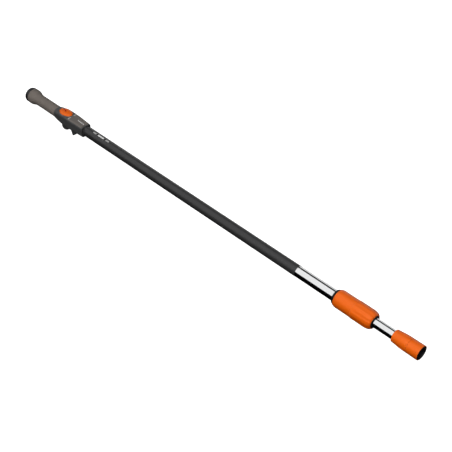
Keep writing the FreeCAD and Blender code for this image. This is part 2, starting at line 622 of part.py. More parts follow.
# ---------------------------------------------------------------- write everything
left_shell, right_shell = shells()
PIECES = {
    "left_shell": left_shell,
    "right_shell": right_shell,
    "shell_screws": shell_screws(),
    "top_panel": top_panel(),
    "button_bezel": bezel(),
    "lock_button": lock_button(),
    "button_spring": button_spring(),
    "switch_body": switch_body(),
    "switch_plunger": switch_plunger(),
    "trigger": trigger(),
    "trigger_pin": cross_rod(PIVOT_X, PIVOT_Z, PIN_R, -6.4, 6.4),
    "trigger_spring": trigger_spring(),
    "grip_sleeve": grip_sleeve(),
    "butt_cap": butt_cap(),
    "butt_screw": butt_screw(),
    "outer_tube": outer_tube(),
    "tube_skin": tube_skin(),
    "tube_plug": tube_plug(),
    "tube_pin": tube_pin(),
    "collar_rear_ring": collar_rear_ring(),
    "collar_body": collar_body(),
    "collar_screws": collar_screws(),
    "guide_bush": guide_bush(),
    "collet": collet(),
    "clamp_nut": clamp_nut(),
    "wiper_ring": wiper_ring(),
    "tail_bush": tail_bush(),
    "tail_clip": tail_clip(),
    "inner_tube": inner_tube(),
    "coupling_body": coupling_body(),
    "tube_screws": Part.makeCompound([radial_screw(*row) for row in TUBE_SCREWS]),
    "insert_screws": Part.makeCompound([radial_screw(*row) for row in INSERT_SCREWS]),
    "socket_insert": socket_insert(),
    "contact_pins": contact_pins(),
    "lock_balls": lock_balls(),
    "sleeve_spring": sleeve_spring(),
    "locking_sleeve": locking_sleeve(),
}
for node, shape in PIECES.items():
    save(node, shape)
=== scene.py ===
# %% [markdown]
# # A telescopic tool pole
# The pole has a soft grip and a trigger handle at one end, a 30 mm aluminium tube under a black skin, a
# twist-lock collar, a 25 mm inner tube and an orange coupling that takes a tool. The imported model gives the
# place and size of every part. This lesson dresses it: turned pieces, moulded shells, tubes, springs,
# screws, and a finish for each material.
# %% Load the frame
import json
import math

import bmesh
import bpy
import numpy as np
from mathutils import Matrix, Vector
from mathutils.bvhtree import BVHTree


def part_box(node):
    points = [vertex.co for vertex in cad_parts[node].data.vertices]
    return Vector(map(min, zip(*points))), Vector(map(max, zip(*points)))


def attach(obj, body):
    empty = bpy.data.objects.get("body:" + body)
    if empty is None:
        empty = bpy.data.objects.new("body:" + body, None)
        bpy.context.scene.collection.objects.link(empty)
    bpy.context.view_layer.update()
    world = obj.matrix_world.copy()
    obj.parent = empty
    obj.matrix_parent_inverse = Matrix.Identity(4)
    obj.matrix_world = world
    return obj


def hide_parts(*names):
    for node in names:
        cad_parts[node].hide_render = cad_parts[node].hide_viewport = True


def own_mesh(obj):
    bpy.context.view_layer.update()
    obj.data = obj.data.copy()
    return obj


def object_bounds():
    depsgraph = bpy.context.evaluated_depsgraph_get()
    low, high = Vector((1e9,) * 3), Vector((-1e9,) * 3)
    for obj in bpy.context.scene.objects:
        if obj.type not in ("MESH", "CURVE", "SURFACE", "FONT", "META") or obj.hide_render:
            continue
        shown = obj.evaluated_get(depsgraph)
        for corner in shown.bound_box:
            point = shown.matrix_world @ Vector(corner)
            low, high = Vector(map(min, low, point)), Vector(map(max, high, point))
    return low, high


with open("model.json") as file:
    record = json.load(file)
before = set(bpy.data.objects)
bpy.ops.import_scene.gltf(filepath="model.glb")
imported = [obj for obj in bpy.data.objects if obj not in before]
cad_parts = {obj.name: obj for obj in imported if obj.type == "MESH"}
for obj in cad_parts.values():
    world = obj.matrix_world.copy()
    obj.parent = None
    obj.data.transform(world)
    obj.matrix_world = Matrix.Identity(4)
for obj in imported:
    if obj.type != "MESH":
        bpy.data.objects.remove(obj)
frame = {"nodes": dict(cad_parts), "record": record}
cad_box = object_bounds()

print("CAD box", [tuple(round(c, 4) for c in corner) for corner in cad_box])

# %% [markdown]
# ## Helpers
# Linking an object, making a mesh from points and wiring a node come up all through the lesson, so each is
# a short function made once. A node's inputs can be given a value or another node's output.
# %% Linking and node helpers
def linked(name, data):
    """A new object in the scene that shows this mesh, light or camera."""
    item = bpy.data.objects.new(name, data)
    bpy.context.scene.collection.objects.link(item)
    return item


def plain_mesh(name, points, faces=()):
    mesh = bpy.data.meshes.new(name)
    mesh.from_pydata(points, [], faces)
    return mesh


def step(tree, kind, **inputs):
    """Adds a node and feeds its inputs, given by label, from sockets or plain values."""
    node = tree.nodes.new(kind)
    for label, value in inputs.items():
        feed(tree, node.inputs[label.replace("_", " ")], value)
    return node


def feed(tree, socket, value):
    """Links a socket from another one, or sets it to a plain value."""
    if isinstance(value, bpy.types.NodeSocket):
        tree.links.new(value, socket)
    else:
        socket.default_value = value


def noise(tree, vector, scale, detail=3.0, roughness=0.5):
    return step(tree, "ShaderNodeTexNoise", Vector=vector, Scale=scale, Detail=detail,
                Roughness=roughness).outputs["Fac"]


def maths(tree, operation, a, b, clamp=False):
    node = tree.nodes.new("ShaderNodeMath")
    node.operation, node.use_clamp = operation, clamp
    feed(tree, node.inputs[0], a)
    feed(tree, node.inputs[1], b)
    return node.outputs[0]


def remap(tree, value, low, high, to_low=0.0, to_high=1.0):
    return step(tree, "ShaderNodeMapRange", Value=value, From_Min=low, From_Max=high, To_Min=to_low,
                To_Max=to_high).outputs["Result"]


# %% [markdown]
# ## Camera
# The camera comes before the pieces, because every choice of detail depends on what is seen. It stands on
# the side of the handle's left shell, in front of the tool end and well above it, with a longish lens, so
# the tube tapers only a little towards the butt.
# %% Camera
AZIMUTH, ELEVATION = math.radians(45.04), math.radians(41.65)
CAMERA_PLACE = Vector((0.7686, -1.4047, 1.7590))
toward_camera = Vector((math.sin(AZIMUTH) * math.cos(ELEVATION),
                        -math.cos(AZIMUTH) * math.cos(ELEVATION), math.sin(ELEVATION)))
camera_data = bpy.data.cameras.new("camera")
camera_data.lens = 80.13
camera_data.sensor_width = 36.0
camera_data.clip_end = 50.0
camera = linked("camera", camera_data)
camera.location = CAMERA_PLACE
camera.rotation_euler = toward_camera.to_track_quat("Z", "Y").to_euler()
bpy.context.scene.camera = camera
middle = (cad_box[0] + cad_box[1]) / 2
print("camera", round((CAMERA_PLACE - middle).length, 2), "m from the middle of the pole")

# %% [markdown]
# ## Floor and light
# A studio shot of bright metal is mostly a picture of what the metal reflects, so the metal gets a tent of
# its own: a long tunnel of white and black cards round the pole that only reflections can see. One white
# card reaches from low on the camera's side up over the top, a second stands behind, and a black gap between
# them draws the thin dark line near the tube's top edge. Everything low is black, which gives the dark band
# along the bottom. The plain soft light is one large lamp near the camera's direction and a weak one
# overhead. The room round them is dim as a light, so forms grow darker toward both their edges, but looks
# pale where a low view sees past the floor.
# %% Stage materials
def stage_material(name, colour, glow):
    material = bpy.data.materials.new(name)
    material.use_nodes = True
    shader = material.node_tree.nodes["Principled BSDF"]
    for label, value in (("Base Color", (*colour, 1)), ("Roughness", 0.9), ("Specular IOR Level", 0.0),
                         ("Emission Color", (1, 1, 1, 1)), ("Emission Strength", glow)):
        shader.inputs[label].default_value = value
    return material


def stage_mesh(name, points, faces, material):
    mesh = plain_mesh(name, points, faces)
    mesh.materials.append(material)
    item = linked(name, mesh)
    return item


# %% Floor
FLOOR_REACH = 12.0
FLOOR_GAP = 0.0002          # keeps the guard's tip just clear of the floor
corners = [(FLOOR_REACH * x, FLOOR_REACH * y, cad_box[0].z - FLOOR_GAP)
           for x, y in ((-1, -1), (1, -1), (1, 1), (-1, 1))]
floor = stage_mesh("floor", corners, [(0, 1, 2, 3)], stage_material("pale floor", (0.5, 0.5, 0.5), 0.86))
floor.visible_glossy = False
floor.visible_diffuse = False

# %% Tent
# Each card is a strip of the tunnel between two angles, measured from straight up toward the camera's side.
TENT_R, TENT_REAR, TENT_FRONT, CARD_STRIPS = 2.6, -7.0, 3.5, 24
CARDS = [("tent_front", -22, 78, 0.78), ("tent_gap", -54, -22, 0.0), ("tent_back", -112, -54, 0.66),
         ("tent_under", 78, 248, 0.0)]
for name, start, end, glow in CARDS:
    points, faces = [], []
    for k in range(CARD_STRIPS + 1):
        turn = math.radians(start + (end - start) * k / CARD_STRIPS)
        y, z = -TENT_R * math.sin(turn), TENT_R * math.cos(turn)
        points += [(TENT_REAR, y, z), (TENT_FRONT, y, z)]
        if k:
            faces.append((2 * k - 2, 2 * k - 1, 2 * k + 1, 2 * k))
    card = stage_mesh(name, points, faces, stage_material(name, (0.0, 0.0, 0.0), glow))
    for sight in ("camera", "diffuse", "shadow", "transmission", "volume_scatter"):
        setattr(card, "visible_" + sight, False)

# %% Lights
world = bpy.data.worlds.new("studio")
world.use_nodes = True
WORLD_GLOW, WORLD_SEEN = 0.05, 0.95     # how strongly the world lights, and how pale it looks behind the floor
sky = world.node_tree.nodes["Background"]
sky.inputs["Color"].default_value = (1.0, 1.0, 1.0, 1)
seen = step(world.node_tree, "ShaderNodeLightPath").outputs["Is Camera Ray"]
feed(world.node_tree, sky.inputs["Strength"], remap(world.node_tree, seen, 0.0, 1.0, WORLD_GLOW, WORLD_SEEN))
bpy.context.scene.world = world
bpy.context.scene.view_settings.view_transform = "Standard"
bpy.context.scene.view_settings.look = "Medium High Contrast"


def soft_light(name, place, aim, width, height, watts):
    data = bpy.data.lights.new(name, "AREA")
    data.shape = "RECTANGLE"
    data.size, data.size_y, data.energy = width, height, watts
    light = linked(name, data)
    light.location = place
    light.rotation_euler = (Vector(place) - Vector(aim)).to_track_quat("Z", "Y").to_euler()
    light.visible_glossy = False


soft_light("key", (middle.x + 0.9, -2.2, 3.0), middle, 3.2, 1.6, 118)
soft_light("overhead", (middle.x, -0.4, 3.2), middle, 3.4, 1.2, 8)

# %% [markdown]
# ## Shared effects
# Four effects come up in more than one finish, so each is a node group built once: the fine grain of a
# moulding tool, wear that gathers on edges, the fine lines that drawing leaves along a tube, and the uneven
# gloss of a thing that is handled. They give masks and heights only. The shader stays in the material.
# %% Node group helpers
VECTOR, FLOAT = "NodeSocketVector", "NodeSocketFloat"


def new_group(name, kind, inputs, outputs, output_kind=FLOAT):
    """An empty node group with named sockets. Inputs are (label, socket kind, default or None)."""
    tree = bpy.data.node_groups.new(name, kind)
    for label, socket_kind, value in inputs:
        socket = tree.interface.new_socket(label, in_out="INPUT", socket_type=socket_kind)
        if value is not None:
            socket.default_value = value
    for label in outputs:
        tree.interface.new_socket(label, in_out="OUTPUT", socket_type=output_kind)
    return tree, tree.nodes.new("NodeGroupInput"), tree.nodes.new("NodeGroupOutput")


def effect(name, inputs, output):
    return new_group(name, "ShaderNodeTree", inputs, output)


# %% Moulded grain
grain, g_in, g_out = effect("moulded grain", [("Vector", VECTOR, None), ("Scale", FLOAT, 2500.0)],
                            ["Height", "Tint"])
fine = noise(grain, g_in.outputs["Vector"], g_in.outputs["Scale"], 2.0, 0.6)
broad = noise(grain, g_in.outputs["Vector"], 60.0, 3.0)
grain.links.new(remap(grain, fine, 0.3, 0.7), g_out.inputs["Height"])
fine_part, broad_part = maths(grain, "MULTIPLY", fine, 0.45), maths(grain, "MULTIPLY", broad, 0.55)
grain.links.new(maths(grain, "ADD", fine_part, broad_part), g_out.inputs["Tint"])

# %% Edge wear
wear, w_in, w_out = effect("edge wear", [("Vector", VECTOR, None), ("Edge", FLOAT, 0.0),
                                         ("Amount", FLOAT, 0.5)], ["Mask"])
patchy = remap(wear, noise(wear, w_in.outputs["Vector"], 420.0, 4.0, 0.65), 0.42, 0.62)
wear.links.new(maths(wear, "MULTIPLY", maths(wear, "MULTIPLY", w_in.outputs["Edge"], patchy),
                     w_in.outputs["Amount"], clamp=True), w_out.inputs["Mask"])

# %% Drawn lines
lines, l_in, l_out = effect("drawn lines", [("Vector", VECTOR, None), ("Around", FLOAT, 1800.0)], ["Line"])
parts = lines.nodes.new("ShaderNodeSeparateXYZ")
lines.links.new(l_in.outputs["Vector"], parts.inputs[0])
joined = lines.nodes.new("ShaderNodeCombineXYZ")
ALONG = 3.0                 # the lines are long, so the noise hardly changes along the tube
for axis, stretch in enumerate((ALONG, l_in.outputs["Around"], l_in.outputs["Around"])):
    lines.links.new(maths(lines, "MULTIPLY", parts.outputs[axis], stretch), joined.inputs[axis])
lines.links.new(noise(lines, joined.outputs[0], 1.0, 4.0, 0.7), l_out.inputs["Line"])

# %% Handled gloss
handled, h_in, h_out = effect("handled gloss", [("Vector", VECTOR, None), ("Spread", FLOAT, 35.0)], ["Change"])
smudge = noise(handled, h_in.outputs["Vector"], h_in.outputs["Spread"], 5.0, 0.62)
handled.links.new(remap(handled, smudge, 0.3, 0.7, -1.0, 1.0), h_out.inputs["Change"])
print("effects", [tree.name for tree in bpy.data.node_groups])

# %% [markdown]
# ## Finishes
# One function makes every finish, because each real finish here is the same recipe with other numbers: a
# base colour that drifts a little, worn edges that show a paler colour, painted shade in a darker colour
# over a marked hollow, a gloss that varies with handling, and a height for grain or drawing lines. Steady
# values are set on the shader itself.
# %% Finish recipe
def use(tree, group, **values):
    node = tree.nodes.new("ShaderNodeGroup")
    node.node_tree = group
    for label, value in values.items():
        feed(tree, node.inputs[label], value)
    return node.outputs


def blend_colour(tree, factor, a, b):
    node = tree.nodes.new("ShaderNodeMix")
    node.data_type = "RGBA"
    for place, value in ((0, factor), (6, a), (7, b)):      # the colour inputs are the seventh and eighth
        feed(tree, node.inputs[place], (*value, 1) if isinstance(value, tuple) else value)
    return node.outputs[2]


def masked(tree, paint, attribute, colour, amount=None, place=None):
    """Lays a colour over the paint where a vertex attribute says so, in patches if an amount is given."""
    node = tree.nodes.new("ShaderNodeAttribute")
    node.attribute_name = attribute
    mask = node.outputs["Fac"]
    if amount is not None:
        mask = use(tree, wear, Vector=place, Edge=mask, Amount=amount)["Mask"]
    return blend_colour(tree, mask, paint, colour)


def finish(name, colour, roughness, *, drift=0.12, worn=None, wear_amount=0.5, hollow=None, metallic=0.0,
           specular=0.5, grain_scale=2500.0, grain_depth=0.00002, drawn=0.0, smudges=0.05):
    """A procedural material. grain_depth and drawn are bump heights in metres."""
    material = bpy.data.materials.new(name)
    material.use_nodes = True
    tree = material.node_tree
    shader = tree.nodes["Principled BSDF"]
    shader.inputs["Metallic"].default_value = metallic
    shader.inputs["Specular IOR Level"].default_value = specular
    place = tree.nodes.new("ShaderNodeTexCoord").outputs["Object"]
    grained = use(tree, grain, Vector=place, Scale=grain_scale)
    darker = tuple(c * (1 - drift) for c in colour)
    lighter = tuple(min(1.0, c * (1 + drift)) for c in colour)
    paint = blend_colour(tree, grained["Tint"], darker, lighter)
    if worn:
        paint = masked(tree, paint, "edge", worn, wear_amount, place)
    # Painted shade: where the mesh's 'hollow' attribute is set, the paint turns to the darker hollow colour,
    # standing in for the shade that falls in a recess.
    if hollow:
        paint = masked(tree, paint, "hollow", hollow)
    tree.links.new(paint, shader.inputs["Base Color"])
    change = maths(tree, "MULTIPLY", use(tree, handled, Vector=place)["Change"], smudges)
    gloss = maths(tree, "ADD", change, roughness)
    height = maths(tree, "MULTIPLY", grained["Height"], grain_depth)
    if drawn:
        line = use(tree, lines, Vector=place)["Line"]
        height = maths(tree, "ADD", height, maths(tree, "MULTIPLY", line, drawn))
        gloss = maths(tree, "ADD", gloss, maths(tree, "MULTIPLY", line, 0.10))
    tree.links.new(gloss, shader.inputs["Roughness"])
    bump = step(tree, "ShaderNodeBump", Strength=1.0, Distance=1.0, Height=height)
    tree.links.new(bump.outputs["Normal"], shader.inputs["Normal"])
    return material


# %% The finishes
FINISH = {
    # The orange finish's hollow colour is painted shade: a dark red-orange that stands in for the shade in the
    # thumb button's channel.
    "orange_plastic": finish("orange shell", (0.85, 0.158, 0.005), 0.36, drift=0.05, worn=(0.90, 0.32, 0.10),
                             wear_amount=0.35, hollow=(0.46, 0.026, 0.002), specular=0.50,
                             grain_scale=2200.0, grain_depth=0.000015),
    "charcoal_plastic": finish("charcoal shell", (0.092, 0.093, 0.094), 0.50, worn=(0.18, 0.18, 0.18),
                               wear_amount=0.5, specular=0.35, grain_scale=1900.0, grain_depth=0.00003),
    "taupe_plastic": finish("taupe panel", (0.170, 0.152, 0.138), 0.50, worn=(0.26, 0.24, 0.23),
                            wear_amount=0.6, grain_scale=2600.0, grain_depth=0.00002),
    "grip_rubber": finish("soft taupe grip", (0.215, 0.190, 0.172), 0.62, worn=(0.25, 0.225, 0.205),
                          wear_amount=0.3, specular=0.15, grain_scale=1500.0, grain_depth=0.00004,
                          smudges=0.08),
    "black_rubber": finish("black rubber", (0.011, 0.011, 0.011), 0.60, specular=0.35, grain_scale=1800.0),
    "black_plastic": finish("black plastic", (0.020, 0.020, 0.021), 0.42, worn=(0.07, 0.07, 0.07)),
    "pale_plastic": finish("grey bezel", (0.15, 0.16, 0.16), 0.40, drift=0.04),
    "black_skin": finish("black tube skin", (0.046, 0.046, 0.047), 0.34, drift=0.15, specular=0.50,
                         grain_scale=900.0, grain_depth=0.000012, smudges=0.06),
    "bare_aluminium": finish("polished aluminium", (0.88, 0.885, 0.89), 0.10, drift=0.02, metallic=1.0,
                             grain_depth=0.000001, drawn=0.0000015, smudges=0.03),
    "white_nylon": finish("white nylon", (0.74, 0.73, 0.69), 0.45, drift=0.05),
    "black_nylon": finish("black nylon", (0.025, 0.025, 0.025), 0.50),
    "zinc_steel": finish("zinc plated steel", (0.60, 0.60, 0.58), 0.30, metallic=1.0, worn=(0.75, 0.75, 0.74),
                         grain_depth=0.000004),
    "spring_steel": finish("spring wire", (0.48, 0.48, 0.47), 0.32, metallic=1.0, grain_depth=0.000003),
    "brass": finish("brass", (0.78, 0.58, 0.24), 0.28, metallic=1.0, grain_depth=0.000003),
}
print("finishes", len(FINISH))

# %% [markdown]
# ## Putting a piece in place
# Every piece goes through one function. It stores how sharp the surface is at each corner, which the edge
# wear reads, gives the piece the finish of its material slot, and lets it ride on the body that moves it.
# %% Piece
SLOT_OF = {row["node"]: row["material_slot"] for row in frame["record"]["subparts"]}
BODY_OF = {node: body for body, nodes in frame["record"]["behaviour"]["bodies"].items() for node in nodes}
SHARP_ANGLE = math.radians(38)
SHARP_CURVATURE = 900.0     # 1/m: an edge rounder than this is only partly worn
UNWORN = 0.15               # share of that curvature below which nothing wears


def mark_edges(mesh):
    """Stores on each vertex how strongly the surface turns outwards there."""
    count = len(mesh.vertices)
    place = np.empty(count * 3, np.float32)
    mesh.vertices.foreach_get("co", place)
    place = place.reshape(-1, 3)
    normal = np.empty(count * 3, np.float32)
    mesh.vertex_normals.foreach_get("vector", normal)
    normal = normal.reshape(-1, 3)
    ends = np.empty(len(mesh.edges) * 2, np.int32)
    mesh.edges.foreach_get("vertices", ends)
    a, b = ends.reshape(-1, 2).T
    step = place[b] - place[a]
    bend = ((normal[b] - normal[a]) * step).sum(1) / np.maximum((step ** 2).sum(1), 1e-12)
    edge = np.zeros(count, np.float32)
    np.maximum.at(edge, a, bend)
    np.maximum.at(edge, b, bend)
    attribute = mesh.attributes.new("edge", "FLOAT", "POINT")
    attribute.data.foreach_set("value", np.clip(edge / SHARP_CURVATURE - UNWORN, 0, 1).astype(np.float32))


def add_object(name, mesh, material):
    """Links a mesh to the scene, smoothed except at its sharp edges."""
    mesh.name = name
    mesh.shade_smooth()
    mesh.set_sharp_from_angle(angle=SHARP_ANGLE)
    mesh.materials.clear()
    mesh.materials.append(material)
    return linked(name, mesh)


def place_piece(name, mesh, node):
    """Links a mesh as the piece that stands for a CAD node, with its finish."""
    mark_edges(mesh)
    piece = add_object(name, mesh, FINISH[SLOT_OF[node]])
    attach(piece, BODY_OF[node])
    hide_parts(node)
    return piece


# %% [markdown]
# ## Turned pieces
# Rings, collars, caps and the grip are all turned: a closed outline goes once round the pole. An outline is
# written as corners, each with the radius of its rounding, because a moulded or machined part has no
# perfectly sharp corner and the rounding is what catches the light. A piece may also change its radius with
# the angle, for scallops and thumb flutes. Angle 0 is the top, and 90 degrees is the camera's side.
# %% Outline and turning
MM = 0.001                  # a millimetre in metres
LONGEST_SPAN = 1.5 * MM     # keeps the edge wear of a rim near the rim


def rounded(corners, steps=4):
    """Corners (x, radius, rounding) in millimetres become a smooth closed outline in metres."""
    points = []
    for i, (x, r, size) in enumerate(corners):
        here = np.array([x, r], float)
        before = np.array(corners[i - 1][:2], float) - here
        after = np.array(corners[(i + 1) % len(corners)][:2], float) - here
        if size == 0:
            points.append(here)
            continue
        before_length, after_length = np.linalg.norm(before), np.linalg.norm(after)
        before, after = before / before_length, after / after_length
        half = math.acos(np.clip(before @ after, -1, 1)) / 2
        reach = min(size / math.tan(half), 0.45 * before_length, 0.45 * after_length)
        radius = reach * math.tan(half)
        centre = here + (before + after) / np.linalg.norm(before + after) * radius / math.sin(half)
        first, last = here + before * reach - centre, here + after * reach - centre
        start = math.atan2(first[1], first[0])
        sweep = (math.atan2(last[1], last[0]) - start + math.pi) % (2 * math.pi) - math.pi
        for k in range(steps + 1):
            turn = start + sweep * k / steps
            points.append(centre + radius * np.array([math.cos(turn), math.sin(turn)]))
    return np.array(points) * MM


def finely(outline, step):
    """The same closed outline with no span longer than step."""
    points = []
    for here, after in zip(outline, np.roll(outline, -1, axis=0)):
        spans = max(1, math.ceil(np.linalg.norm(after - here) / step))
        points.extend(here + (after - here) * k / spans for k in range(spans))
    return np.array(points)


def bands(rings, around, first=0, closed=False):
    """Quads between neighbouring rings of points, and from the last back to the first if closed."""
    faces = []
    for i in range(rings if closed else rings - 1):
        a, b = first + i * around, first + (i + 1) % rings * around
        faces += [(a + k, b + k, b + (k + 1) % around, a + (k + 1) % around) for k in range(around)]
    return faces


def turned(name, outline, around=128, form=None):
    """A ring-shaped mesh about the pole's axis, from a closed outline."""
    angle = np.linspace(0, 2 * math.pi, around, endpoint=False)
    rings = []
    for x, r in outline:
        radius = np.full(around, r) if form is None else form(x, r, angle)
        rings.append(np.stack([np.full(around, x), -radius * np.sin(angle), radius * np.cos(angle)], axis=1))
    return outward(plain_mesh(name, np.concatenate(rings), bands(len(rings), around, closed=True)))


def place_turned(name, node, corners, around=128, form=None, step=LONGEST_SPAN):
    """Turns an outline of rounded corners and places it as the node's piece."""
    outline = finely(rounded(corners), step)
    return place_piece(name, turned(name, outline, around, form), node)


def outward(mesh):
    """Turns a closed mesh's faces outwards."""
    work = bmesh.new()
    work.from_mesh(mesh)
    bmesh.ops.recalc_face_normals(work, faces=work.faces)
    work.to_mesh(mesh)
    work.free()
    return mesh


def span(node):
    """Rear and front stations and outer radius of a turned CAD node, in millimetres."""
    low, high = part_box(node)
    return low.x / MM, high.x / MM, (high.y - low.y) / 2 / MM


# %% [markdown]
# ## Grip and butt cap
# The grip is a rubber sleeve, a bell at the butt that swells to fill the palm and slims to a shaft. Its
# outline is a smooth curve through a few stations, given as shares of its length and largest radius.
# %% Grip
CORE_BORE = 14.55           # the rubber's bore, on the shells' core


def smooth_curve(stations, count):
    """A smooth curve through (position, value) stations, with Hermite spans."""
    at, value = np.array(stations, float).T
    slope = np.gradient(value, at)
    where = np.linspace(at[0], at[-1], count)
    i = np.clip(np.searchsorted(at, where) - 1, 0, len(at) - 2)
    width = at[i + 1] - at[i]
    t = (where - at[i]) / width
    curve = ((2 * t ** 3 - 3 * t ** 2 + 1) * value[i] + (t ** 3 - 2 * t ** 2 + t) * width * slope[i]
             + (3 * t ** 2 - 2 * t ** 3) * value[i + 1] + (t ** 3 - t ** 2) * width * slope[i + 1])
    return where, curve


rear, front, bell = span("grip_sleeve")
BELL = [(0.0, 0.995), (0.057, 1.0), (0.106, 0.974), (0.154, 0.892), (0.22, 0.788), (0.285, 0.751),
        (0.382, 0.745), (0.642, 0.745), (1.0, 0.753)]
where, share = smooth_curve(BELL, 90)
outer = [(rear + s * (front - rear), bell * v, 0) for s, v in zip(where, share)]
outer[0] = (*outer[0][:2], 0.8)
outer[-1] = (*outer[-1][:2], 0.6)
grip = place_turned("grip", "grip_sleeve", outer + [(front, CORE_BORE, 0.3), (rear, CORE_BORE, 0.3)])
print("grip", len(grip.data.vertices), "points,", round(front - rear), "mm long")

# %% Butt cap
rear, front, rim = span("butt_cap")
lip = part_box("grip_sleeve")[0].x / MM
cap_floor = rear + 8.0
cap_outline = [(rear + 3.4, 2.05, 0.1), (rear + 3.4, 4.2, 0.2), (rear + 0.5, 4.2, 0.4), (rear, 6.0, 0.6),
               (rear, 13.0, 0.3), (rear + 0.7, 13.4, 0.2), (rear + 0.7, 14.4, 0.2), (rear, 14.8, 0.3),
               (rear, 18.2, 1.5), (rear + 1.6, 21.4, 1.6), (rear + 5.0, 22.7, 3.0), (lip - 0.7, rim, 0.3),
               (lip - 0.5, rim - 0.5, 0.1), (lip, rim - 0.5, 0.1), (lip, CORE_BORE, 0.1),
               (cap_floor, CORE_BORE, 0.3),
               (cap_floor, 11.75, 0.1), (front, 11.75, 0.5), (front, 9.3, 0.3), (cap_floor + 1.0, 9.3, 0.3),
               (cap_floor + 1.0, 5.0, 0.2), (rear + 14.0, 5.0, 0.3), (rear + 14.0, 2.05, 0.1)]
place_turned("cap", "butt_cap", cap_outline)

# %% [markdown]
# ## Tubes
# A drawn tube is a ring section carried along a line, so a small Geometry Nodes tree makes it: a circle is
# the path, the wall's rounded rectangle is the profile, and the sizes are named inputs.
# %% Geometry Nodes helpers
def geometry_tree(name, inputs):
    """A Geometry Nodes tree with named inputs and one geometry output."""
    return new_group(name, "GeometryNodeTree", inputs, ["Geometry"], "NodeSocketGeometry")


def close_tree(tree, geometry, material, output):
    """Ends a tree: makes its copies real, gives them their finish, and joins them to the output."""
    real = step(tree, "GeometryNodeRealizeInstances", Geometry=geometry)
    dressed = step(tree, "GeometryNodeSetMaterial", Geometry=real.outputs[0], Material=material)
    tree.links.new(dressed.outputs[0], output.inputs[0])


def converted(item):
    """The mesh that an object's modifiers make."""
    view = bpy.context.evaluated_depsgraph_get()
    return bpy.data.meshes.new_from_object(item.evaluated_get(view))


def grow(tree, base_mesh=None, **values):
    """Runs a tree with the given input values and returns the result as a plain mesh."""
    carrier = linked("carrier", base_mesh or bpy.data.meshes.new("carrier"))
    modifier = carrier.modifiers.new("grow", "NODES")
    modifier.node_group = tree
    for item in tree.interface.items_tree:
        if item.in_out == "INPUT" and item.name in values:
            modifier[item.identifier] = values[item.name]
    mesh = converted(carrier)
    carrier.modifiers.remove(modifier)
    bpy.data.objects.remove(carrier)
    return mesh


# %% Drawn tube tree
METAL = "NodeSocketMaterial"
tube_tree, t_in, t_out = geometry_tree("drawn tube", [
    ("Rear", FLOAT, 0.0), ("Front", FLOAT, 1.0), ("Outer Radius", FLOAT, 0.015), ("Wall", FLOAT, 0.0014),
    ("Rounding", FLOAT, 0.0003), ("Sides", "NodeSocketInt", 160), ("Finish", METAL, None)])
sizes = t_in.outputs
length = maths(tube_tree, "SUBTRACT", sizes["Front"], sizes["Rear"])
half_wall = maths(tube_tree, "MULTIPLY", sizes["Wall"], 0.5)
mid_radius = maths(tube_tree, "SUBTRACT", sizes["Outer Radius"], half_wall)
mid_station = maths(tube_tree, "MULTIPLY", maths(tube_tree, "ADD", sizes["Rear"], sizes["Front"]), 0.5)
path = step(tube_tree, "GeometryNodeCurvePrimitiveCircle", Resolution=sizes["Sides"], Radius=mid_radius)
wall = step(tube_tree, "GeometryNodeCurvePrimitiveQuadrilateral", Width=sizes["Wall"], Height=length)
eased = step(tube_tree, "GeometryNodeFilletCurve", Curve=wall.outputs[0], Radius=sizes["Rounding"],
             Limit_Radius=True)
eased.mode = "POLY"
eased.inputs["Count"].default_value = 3
swept = step(tube_tree, "GeometryNodeCurveToMesh", Curve=path.outputs[0], Profile_Curve=eased.outputs[0])
moved_to = step(tube_tree, "ShaderNodeCombineXYZ", X=mid_station)
laid = step(tube_tree, "GeometryNodeTransform", Geometry=swept.outputs[0], Translation=moved_to.outputs[0],
            Rotation=(0.0, math.radians(90), 0.0))
close_tree(tube_tree, laid.outputs[0], sizes["Finish"], t_out)

# %% The three tubes
WALLS = {"outer_tube": 1.4, "inner_tube": 1.2, "tube_skin": 0.33}
for node, wall_mm in WALLS.items():
    low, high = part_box(node)
    mesh = grow(tube_tree, **{"Rear": low.x, "Front": high.x, "Outer Radius": (high.y - low.y) / 2,
                              "Wall": wall_mm * MM, "Rounding": min(0.3, wall_mm * 0.3) * MM, "Sides": 160,
                              "Finish": FINISH[SLOT_OF[node]]})
    tube = place_piece(node.replace("_", "") + "_drawn", outward(mesh), node)
    print(node, len(tube.data.vertices), "points, box", [round(d, 4) for d in tube.dimensions])

# %% [markdown]
# ## Collar
# The collar is a clamp: its rear half is fixed on the outer tube and its front half is a nut that squeezes
# a slotted cone onto the inner tube. The halves meet in a fine seam. Shallow scallops round the nut give
# the hand a hold, so its radius varies with the angle.
# %% Collar rear half and rings
rear, front, rim = span("collar_body")
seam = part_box("clamp_nut")[0].x / MM - 0.4
TUBE_FIT = 15.05
body_outline = [(rear, TUBE_FIT, 0.1), (rear, 22.4, 0.2), (rear + 1.4, 23.2, 2.0), (rear + 6.0, rim, 6.0),
                (seam, rim, 0.5), (seam, 20.0, 0.2), (front, 20.0, 0.6), (front, TUBE_FIT, 0.2)]
place_turned("collar_rear", "collar_body", body_outline)
rear, front, rim = span("collar_rear_ring")
ring_outline = [(rear, TUBE_FIT, 0.2), (rear, 17.7, 0.5), (rear + 1.2, 18.9, 0.6), (front - 1.0, 22.0, 0.8),
                (front, rim, 0.2), (front, TUBE_FIT, 0.1)]
place_turned("collar_ring", "collar_rear_ring", ring_outline)
rear, front, rim = span("wiper_ring")
wiper_outline = [(rear, 12.9, 0.2), (rear, rim, 0.1), (front - 1.5, rim, 0.8), (front, rim - 1.8, 0.5),
                 (front, 12.9, 0.4)]
place_turned("wiper", "wiper_ring", wiper_outline)

# %% Clamp nut
rear, front, rim = span("clamp_nut")
SCALLOPS, SCALLOP_DEPTH, SCALLOP_HALF = 8, 0.75, math.radians(11)
SCALLOP_TURN = math.radians(10)
NOSE = 18.5                 # length of the rounded nose


